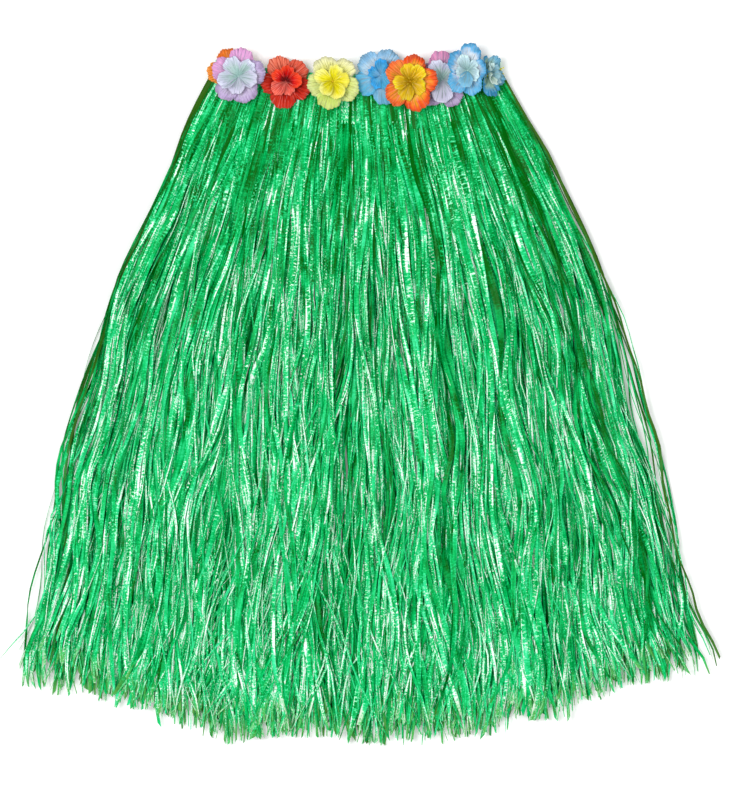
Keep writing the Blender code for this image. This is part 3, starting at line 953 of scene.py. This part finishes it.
def build_band(settings, material):
    """The casing: one length of cloth round the waist, gathered in front and lying flat behind."""
    crests = gather_crests(random.Random(BAND_SEED), settings.gather_pitch)
    columns = band_columns(crests)
    bm = bmesh.new()
    film = bm.loops.layers.uv.new("film")
    bmesh.ops.create_grid(bm, x_segments=len(columns), y_segments=BAND_ROWS, size=1.0, calc_uvs=False)
    for face in bm.faces:
        for loop in face.loops:
            place = loop.vert.co
            loop[film].uv = ((place.x + 1.0) * 2.0 * WAIST_HALF, (place.y + 1.0) / 2 * BAND_HEIGHT)
    for vert in bm.verts:
        run, x, z = columns[round((vert.co.x + 1.0) / 2.0 * len(columns)) % len(columns)]
        share = (vert.co.y + 1.0) / 2.0
        if run == "front":
            vert.co = front_point(settings, crests, x, share)
        else:
            vert.co = Vector((BAND_CENTRE.x + x, band_y(BAND_CENTRE.x + x, share), z))
            if run == "fold" and z > BACK_HEIGHT:
                vert.co.y -= FOLD_FRILL * settings.overhang * frill(share)
    bmesh.ops.remove_doubles(bm, verts=bm.verts[:], dist=MERGE_DISTANCE)
    bmesh.ops.recalc_face_normals(bm, faces=bm.faces[:])
    band = finish_piece("gathered_band", bm, material, ("waistband",))
    wall = band.modifiers.new("cloth", "SOLIDIFY")
    wall.thickness = CLOTH_THICKNESS
    wall.offset = -1.0
    return band, crests


def build_stitches(settings, crests, material):
    """The two gathering lines: short stitches of thread pulled into the gathers."""
    bm = bmesh.new()
    lay_down = Matrix.Rotation(math.pi / 2, 4, "Y")
    gap = settings.stitch_length * STITCH_GAP
    for line in STITCH_LINES:
        x = -WAIST_HALF + STITCH_INSET
        while x < WAIST_HALF - STITCH_INSET:
            middle = front_point(settings, crests, x, line) + Vector((0.0, 0.0, STITCH_RAISE))
            bmesh.ops.create_cone(
                bm,
                cap_ends=True,
                segments=THREAD_SIDES,
                radius1=THREAD_RADIUS,
                radius2=THREAD_RADIUS,
                depth=settings.stitch_length,
                matrix=Matrix.Translation(middle) @ lay_down,
            )
            x += settings.stitch_length + gap
    return finish_piece("gathering_stitches", bm, material)


def thread_material():
    """Green sewing thread, with a fine twist."""
    tree = NodeTree("green_thread")
    position = tree.add("ShaderNodeTexCoord").outputs["Object"]
    twist = tree.noise(position, (2500.0, 900.0, 900.0), 1.0)
    colour = tree.ramp(twist, ((0.35, (0.004, 0.20, 0.05)), (0.65, (0.02, 0.42, 0.14))))
    tree.surface(colour, 0.55)
    return tree.material


def film_band_material(settings):
    """The waistband's film cloth: green, with painted sheen and shade in stripes up the band and painted
    white highlights in patches of fine wrinkles.
    """
    tree = NodeTree("gathered_green_film")
    uv = tree.add("ShaderNodeUVMap", uv_map="film").outputs["UV"]
    wrinkles = tree.noise(uv, (480.0, 560.0, 1.0), 3.0, 0.7)
    creases = tree.noise(uv, (420.0, 22.0, 1.0), 2.0)
    patches = tree.noise(uv, (45.0, 40.0, 1.0), 2.0)
    # Painted highlights: white in patches of fine wrinkles
    painted_highlights = tree.maths("MULTIPLY", tree.fit(wrinkles, 0.48, 0.60), tree.fit(patches, 0.36, 0.58, 0.2, 0.9))
    # Painted sheen and shade: lighter and darker in stripes up the band
    value = tree.maths("ADD", tree.swing(creases, 0.10, 0.62), tree.maths("MULTIPLY", painted_highlights, 0.7))
    tree.surface(tree.greens(value, settings), tree.swing(wrinkles, 0.25, 0.45), specular=0.12)
    tree.bump(tree.maths("ADD", creases, wrinkles), 0.6, 0.0005)
    return tree.material


class SKIRT_OT_waistband(bpy.types.Operator):
    """Make the gathered waistband and its two lines of stitches"""

    bl_idname = "skirt.waistband"
    bl_label = "Waistband"

    def execute(self, context):
        settings = context.scene.skirt_band
        band, crests = build_band(settings, film_band_material(context.scene.skirt_fringe))
        build_stitches(settings, crests, thread_material())
        return {"FINISHED"}


# Flowers

FIRST_SEED = 40
FIRST_HUB_RAISE = 0.0002
PETAL_ROWS = 12
COLUMNS_PER_RIB = 6

# Ranges that single petals differ in: width, pitch, dish, ripples along the rim and bunching of the ribs
PETAL_WIDTHS = (0.88, 1.05)
PITCHES = (-0.4, 1.0)
DISHES = (0.5, 1.4)
RIPPLES = (1.2, 2.4)
BUNCHING = (0.10, 0.20)
RIB_RHYTHMS = (0.45, 0.75)
LONGEST = 1.02
OTHER_COLOUR = (-0.15, 0.15)

# A petal's form: how its sides draw in, its rim is nicked and drops, and how it folds and tilts
SIDE_DRAW = 0.14
NOTCH_POWER = 2.5
RIB_TIP = 0.0007
NICK = 0.0005
NICK_RATE = 11.0
NICK_SHIFT = 3.0
BUNCHING_RATE = 2.6
RIB_BASE = 0.55
RIB_ZONE = (0.05, 0.9)
CROSS_TILT = 0.0016
FOLD_DEPTH = 0.0022
FOLD_RATE = 2.2
PRESSED_UP = 0.75
RIM_DROP = 0.0014
RIM_ZONE = (0.75, 1.0)

# How petals lie on the band, and the heart's button, stamens and neck
PETAL_CLEARANCE = 0.0016
SQUASH = 0.04
BUTTON_SIZES = (0.86, 1.08)
BUTTON_FLATNESS = 0.6
STAMEN_STRAY = 0.6
STAMEN_TILT = (0.15, 0.65)
STAMEN_LENGTHS = (0.75, 1.0)
STAMEN_ROOT = 0.0005
STAMEN_TOP = 0.0003
STAMEN_SIDES = 5
LEANING_STAMENS = (-0.35, 0.35)
LEANING_TILT = (1.30, 1.38)
BEAD_RADIUS = 0.0008
LEAST_NECK = 0.0008
NECK_SIDES = 10


def flower_place(flower):
    """A flower's hub and its neck's length, read from its solids."""
    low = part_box(flower.name + "_outer")[0]
    if flower.inner is None:
        return Vector((*FIRST_HUB, low.z + FIRST_HUB_RAISE)) + SHIFT, 0.0
    lean = math.radians(SOLID_LEAN) if flower.lean else 0.0
    axis = Vector((math.sin(lean), 0.0, math.cos(lean)))
    pin_low, pin_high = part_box(flower.name + "_pin")
    hub = (pin_low + pin_high) / 2 - axis * HUB_TO_PIN
    return hub, LEANING_NECK if flower.lean else hub.z - low.z


def add_petal(bm, flower, ring, rng, radius, turn, settings):
    """One ribbed petal: a grid spread into a rounded fan from the hub, cupped, tilted and ruffled."""
    petal_uv = bm.loops.layers.uv.verify()
    leaning = bm.verts.layers.float.get("leaning")
    columns = COLUMNS_PER_RIB * ring.ribs
    made = bmesh.ops.create_grid(bm, x_segments=columns, y_segments=PETAL_ROWS, size=1.0)["verts"]
    for face in {face for vert in made for face in vert.link_faces}:
        for loop in face.loops:
            loop[petal_uv].uv = ((loop.vert.co.x + 1.0) / 2.0, (loop.vert.co.y + 1.0) / 2.0)
    half_angle = math.pi / PETALS * ring.spread * rng.uniform(*PETAL_WIDTHS)
    turn += math.radians(ring.turn) + rng.uniform(-ring.jitter, ring.jitter)
    pitch = rng.uniform(*PITCHES) * ring.pitch
    dish = ring.dish * rng.uniform(*DISHES)
    ripples = rng.uniform(*RIPPLES)
    phase = rng.uniform(0.0, math.tau)
    bunching = rng.uniform(*BUNCHING)
    rhythm = rng.uniform(*RIB_RHYTHMS)
    length = radius * (LONGEST - ring.length_range * rng.random())
    fold = rng.uniform(-1.0, 1.0)
    other_at = flower.other_at[ring is INNER]
    toward_other = 0.5 + 0.5 * math.cos(turn + math.radians(flower.turn - other_at))
    other_share = toward_other + rng.uniform(*OTHER_COLOUR)
    for vert in made:
        across = vert.co.x
        out = (vert.co.y + 1.0) / 2.0
        vert[leaning] = other_share
        rib_place = (across + bunching * math.sin(BUNCHING_RATE * across + phase)) / 2.0
        rib = math.cos(math.tau * ring.ribs * rib_place)
        rib *= RIB_BASE + (1.0 - RIB_BASE) * math.cos(math.tau * ring.ribs * rhythm * across + phase)
        angle = turn + across * half_angle * (1.0 - SIDE_DRAW * out * out)
        tip = length * (1.0 - ring.notch * abs(across) ** NOTCH_POWER) + RIB_TIP * rib * ring.rib_share
        tip += NICK * math.sin(NICK_RATE * across + NICK_SHIFT * phase)
        pressed = 0.0
        for press, press_angle in flower.presses:
            toward = max(0.0, math.cos(angle + math.radians(flower.turn - press_angle)))
            pressed += press * toward ** 2
        tip *= 1.0 - pressed
        distance = ring.hub + (tip - ring.hub) * out
        z = ring.rise * (distance / radius) ** ring.power
        z += (pitch + dish * across * across + CROSS_TILT * across) * out
        z += FOLD_DEPTH * fold * math.sin(FOLD_RATE * across + phase) * out * out
        z += PRESSED_UP * radius * max(0.0, pressed) * out
        z += settings.rib_height * ring.rib_share * rib * smooth(*RIB_ZONE, out)
        z += settings.ruffle * math.sin(ripples * math.pi * across + phase) * out ** 3
        z -= RIM_DROP * smooth(*RIM_ZONE, out)
        vert.co = Vector((distance * math.cos(angle), distance * math.sin(angle), z))


def place_on_axis(bm, flower, hub, lift):
    """Turn a flower piece, lean it and put it on its hub."""
    lean = Matrix.Rotation(math.radians(flower.lean), 4, "Y")
    turn = Matrix.Rotation(math.radians(flower.turn), 4, "Z")
    raised = Matrix.Translation((0.0, 0.0, lift))
    bmesh.ops.transform(bm, matrix=Matrix.Translation(hub) @ lean @ turn @ raised, verts=bm.verts[:])
    lowest = FRONT_HEIGHT + PETAL_CLEARANCE + lift
    for vert in bm.verts:
        if vert.co.z < lowest:
            vert.co.z = lowest - SQUASH * (lowest - vert.co.z)


def build_petals(flower, ring, rng, radius, hub, settings):
    """A ring of separate petals round the hub."""
    bm = bmesh.new()
    bm.loops.layers.uv.new("petal")
    bm.verts.layers.float.new("leaning")
    for number in range(PETALS):
        add_petal(bm, flower, ring, rng, radius, math.tau * number / PETALS, settings)
    place_on_axis(bm, flower, hub, ring.lift)
    return bm


def thicken(piece, wall):
    """Give a sheet of petals its wall, as a modifier."""
    modifier = piece.modifiers.new("petal_wall", "SOLIDIFY")
    modifier.thickness = wall
    modifier.offset = 0.0


def petal_material(name, tones, rim):
    """Stiffened petal cloth: its colour runs from the heart to the rim, uneven along the pressed ribs, with
    painted highlights and painted shade along them.
    """
    tree = NodeTree(name)
    uv = tree.add("ShaderNodeUVMap", uv_map="petal").outputs["UV"]
    position = tree.add("ShaderNodeTexCoord").outputs["Object"]
    leaning = tree.add("ShaderNodeAttribute", attribute_name="leaning").outputs["Fac"]
    place = tree.shift(uv, tree.maths("MULTIPLY", leaning, PETAL_SHIFT))
    fine = tree.noise(place, (24.0, 1.2, 1.0), 3.0, 0.6)
    blotch = tree.noise(position, (120.0, 120.0, 120.0), 2.0)
    separate = tree.add("ShaderNodeSeparateXYZ", {"Vector": uv})
    out = separate.outputs["Y"]
    aside = tree.maths("ABSOLUTE", tree.maths("SUBTRACT", separate.outputs["X"], 0.5))
    aside = tree.maths("MULTIPLY", tree.fit(aside, 0.36, 0.50, 0.0, 0.98), tree.fit(out, 0.2, 0.6))
    out = tree.maths("MAXIMUM", out, aside)
    out = tree.maths("ADD", out, tree.swing(blotch, -0.16, 0.16))
    out = tree.maths("ADD", out, tree.swing(fine, -0.14, 0.14))
    edge = tuple(min(0.95, rim * part) for part in tones.rim)
    colour = tree.ramp(out, (
        (0.08, tones.heart),
        (0.50, tones.middle),
        (0.84, tones.rim),
        (1.00, edge),
    ))
    uneven = tree.fit(fine, 0.38, 0.60, 0.35, 1.0)
    other = tree.maths("MULTIPLY", tree.fit(leaning, 0.60, 0.90, 0.0, 0.9), uneven)
    colour = tree.mix(other, colour, (*tones.other, 1.0))
    # Painted highlights and painted shade along the ribs: pale streaks, and darker between them
    colour = tree.mix(tree.fit(fine, 0.54, 0.68, 0.0, 0.20), colour, (0.95, 0.95, 0.95, 1.0))
    shade = tree.fit(fine, 0.34, 0.48, 0.55, 1.0)
    shade = tree.add("ShaderNodeCombineColor", {0: shade, 1: shade, 2: shade}).outputs[0]
    weave = tree.noise(position, (2600.0, 2600.0, 2600.0), 1.0)
    tree.surface(tree.mix(1.0, colour, shade, "MULTIPLY"), tree.swing(weave, 0.40, 0.58), specular=0.20)
    tree.bump(tree.maths("ADD", weave, tree.maths("MULTIPLY", fine, 3.0)), 0.6, 0.0006)
    return tree.material


def build_heart(flower, rng, hub, neck):
    """A flower's middle: the neck that it is sewn on by, a crumpled button and a few stamens."""
    bm = bmesh.new()
    button = bmesh.ops.create_icosphere(bm, subdivisions=2, radius=HEART_RADIUS)["verts"]
    for vert in button:
        vert.co *= rng.uniform(*BUTTON_SIZES)
        vert.co.z = vert.co.z * BUTTON_FLATNESS + INNER.lift
    for number in range(flower.stamens):
        angle = math.tau * (number + rng.random() * STAMEN_STRAY) / flower.stamens
        tilt = rng.uniform(*STAMEN_TILT)
        if flower.lean:
            angle = rng.uniform(*LEANING_STAMENS) - math.radians(flower.turn)
            tilt = rng.uniform(*LEANING_TILT)
        splay = Matrix.Rotation(angle, 4, "Z") @ Matrix.Rotation(tilt, 4, "Y")
        length = flower.stamen_length * rng.uniform(*STAMEN_LENGTHS)
        bmesh.ops.create_cone(
            bm,
            cap_ends=True,
            segments=STAMEN_SIDES,
            radius1=STAMEN_ROOT,
            radius2=STAMEN_TOP,
            depth=length,
            matrix=splay @ Matrix.Translation((0.0, 0.0, INNER.lift + length / 2)),
        )
        bead = Matrix.Translation((0.0, 0.0, INNER.lift + length))
        bmesh.ops.create_icosphere(bm, subdivisions=1, radius=BEAD_RADIUS, matrix=splay @ bead)
    place_on_axis(bm, flower, hub, 0.0)
    foot = hub.z - max(neck, LEAST_NECK)
    bmesh.ops.create_cone(
        bm,
        cap_ends=True,
        segments=NECK_SIDES,
        radius1=NECK_RADIUS,
        radius2=NECK_RADIUS,
        depth=hub.z - foot,
        matrix=Matrix.Translation((hub.x, hub.y, (hub.z + foot) / 2)),
    )
    return bm


def heart_material(name, tones):
    """Moulded plastic of a flower's middle, unevenly dyed."""
    tree = NodeTree(name + "_plastic")
    position = tree.add("ShaderNodeTexCoord").outputs["Object"]
    dye = tree.noise(position, (500.0, 500.0, 500.0), 2.0)
    colour = tree.ramp(dye, ((0.35, tones.heart), (0.65, tones.middle)))
    tree.surface(colour, tree.swing(dye, 0.4, 0.6))
    tree.bump(dye, 0.4, 0.0003)
    return tree.material


class SKIRT_OT_flowers(bpy.types.Operator):
    """Make the lei flowers' outer and inner petals and their middles"""

    bl_idname = "skirt.flowers"
    bl_label = "Lei flowers"

    def execute(self, context):
        settings = context.scene.skirt_flower
        for number, flower in enumerate(FLOWERS):
            rng = random.Random(FIRST_SEED + number)
            hub, neck = flower_place(flower)
            for ring, share, part, tones in (
                (OUTER, 1.0, "_outer", flower.outer),
                (INNER, flower.inner_share, "_inner", flower.inner),
            ):
                if tones is None:
                    continue
                node = flower.name + part
                radius = flower.radius * share
                bm = build_petals(flower, ring, rng, radius, hub, settings)
                material = petal_material(node + "_cloth", tones, ring.rim)
                piece = finish_piece(node + "_petals", bm, material, (node,))
                thicken(piece, settings.petal_wall)
            if flower.heart is not None:
                node = flower.name + "_pin"
                bm = build_heart(flower, rng, hub, neck)
                material = heart_material(node, flower.heart)
                finish_piece(flower.name + "_heart", bm, material, (node,))
        return {"FINISHED"}


# Stage

FLOOR_HALF = 8.0
FLOOR_DROP = 0.0005
FLOOR_TONE = (0.90, 0.90, 0.90, 1.0)
FLOOR_GLOW = 0.16
CAMERA_REACH = 20.0

# Each softbox: its place, its width and height, and its power as a share of the overhead one's
Softbox = namedtuple("Softbox", "name place width height share")
SOFTBOXES = (
    Softbox("softbox_overhead", (-0.9, 0.5, 2.7), 0.9, 0.9, 1.0),
    Softbox("strip_light_left", (-1.1, 0.0, 2.3), 0.16, 1.9, 0.50),
    Softbox("strip_light_right", (1.2, 0.0, 2.2), 0.14, 1.9, 0.46),
    Softbox("softbox_hem", (0.3, -1.9, 1.6), 1.6, 0.4, 0.25),
)


def add_softbox(softbox, power):
    """A rectangular light aimed at the skirt's middle."""
    light = bpy.data.lights.new(softbox.name, "AREA")
    light.shape = "RECTANGLE"
    light.size = softbox.width
    light.size_y = softbox.height
    light.energy = power * softbox.share
    holder = bpy.data.objects.new(softbox.name, light)
    bpy.context.scene.collection.objects.link(holder)
    holder.location = softbox.place
    holder.rotation_euler = (-holder.location).to_track_quat("-Z", "Y").to_euler()


def floor_material():
    """A plain pale floor with a faint unevenness in its gloss."""
    tree = NodeTree("pale_floor")
    position = tree.add("ShaderNodeTexCoord").outputs["Object"]
    unevenness = tree.noise(position, (6.0, 6.0, 6.0), 3.0)
    tree.surface(FLOOR_TONE, tree.swing(unevenness, 0.75, 0.9))
    tree.shader.inputs["Emission Color"].default_value = WHITE
    tree.shader.inputs["Emission Strength"].default_value = FLOOR_GLOW
    return tree.material


class SKIRT_OT_stage(bpy.types.Operator):
    """Set the pale floor, the soft lights and the camera above the skirt"""

    bl_idname = "skirt.stage"
    bl_label = "Stage"

    def execute(self, context):
        settings = context.scene.skirt_stage
        bm = bmesh.new()
        bmesh.ops.create_grid(bm, x_segments=1, y_segments=1, size=FLOOR_HALF)
        bmesh.ops.translate(bm, vec=Vector((0.0, 0.0, -FLOOR_DROP)), verts=bm.verts[:])
        mesh = bpy.data.meshes.new("floor")
        bm.to_mesh(mesh)
        bm.free()
        mesh.materials.append(floor_material())
        floor = bpy.data.objects.new("floor", mesh)
        context.scene.collection.objects.link(floor)

        for softbox in SOFTBOXES:
            add_softbox(softbox, settings.light_power)

        world = bpy.data.worlds.new("studio")
        world.use_nodes = True
        background = world.node_tree.nodes["Background"]
        background.inputs["Color"].default_value = WHITE
        background.inputs["Strength"].default_value = settings.world_strength
        context.scene.world = world
        context.scene.view_settings.view_transform = "Standard"

        camera = bpy.data.cameras.new("camera")
        camera.lens = settings.lens
        camera.clip_end = CAMERA_REACH
        holder = bpy.data.objects.new("camera", camera)
        context.scene.collection.objects.link(holder)
        distance = settings.view_height * settings.lens / camera.sensor_width
        holder.location = Vector((*settings.view_centre, distance)) + SHIFT
        context.scene.camera = holder
        return {"FINISHED"}


# Panel, registration and the run itself


class SKIRT_PT_sidebar(bpy.types.Panel):
    """Everything that makes the grass skirt"""

    bl_idname = "SKIRT_PT_sidebar"
    bl_label = "Grass Skirt"
    bl_space_type = "VIEW_3D"
    bl_region_type = "UI"
    bl_category = "Grass Skirt"

    def draw(self, context):
        for operator in OPERATORS:
            self.layout.operator(operator.bl_idname)
        for settings_name, settings_class in SETTINGS:
            settings = getattr(context.scene, settings_name)
            box = self.layout.box()
            box.label(text=settings_class.__doc__)
            for field in settings_class.__annotations__:
                box.prop(settings, field)


SETTINGS = (
    ("skirt_fringe", FringeSettings),
    ("skirt_band", BandSettings),
    ("skirt_flower", FlowerSettings),
    ("skirt_stage", StageSettings),
)
OPERATORS = (SKIRT_OT_fringe, SKIRT_OT_waistband, SKIRT_OT_flowers, SKIRT_OT_stage)
CLASSES = tuple(settings_class for _, settings_class in SETTINGS) + OPERATORS + (SKIRT_PT_sidebar,)


def register():
    for made_class in CLASSES:
        bpy.utils.register_class(made_class)
    for settings_name, settings_class in SETTINGS:
        setattr(bpy.types.Scene, settings_name, bpy.props.PointerProperty(type=settings_class))


def unregister():
    for settings_name, _ in SETTINGS:
        delattr(bpy.types.Scene, settings_name)
    for made_class in reversed(CLASSES):
        bpy.utils.unregister_class(made_class)


def main():
    register()
    bpy.ops.skirt.fringe()
    bpy.ops.skirt.waistband()
    bpy.ops.skirt.flowers()
    bpy.ops.skirt.stage()


if __name__ == "__main__":
    main()
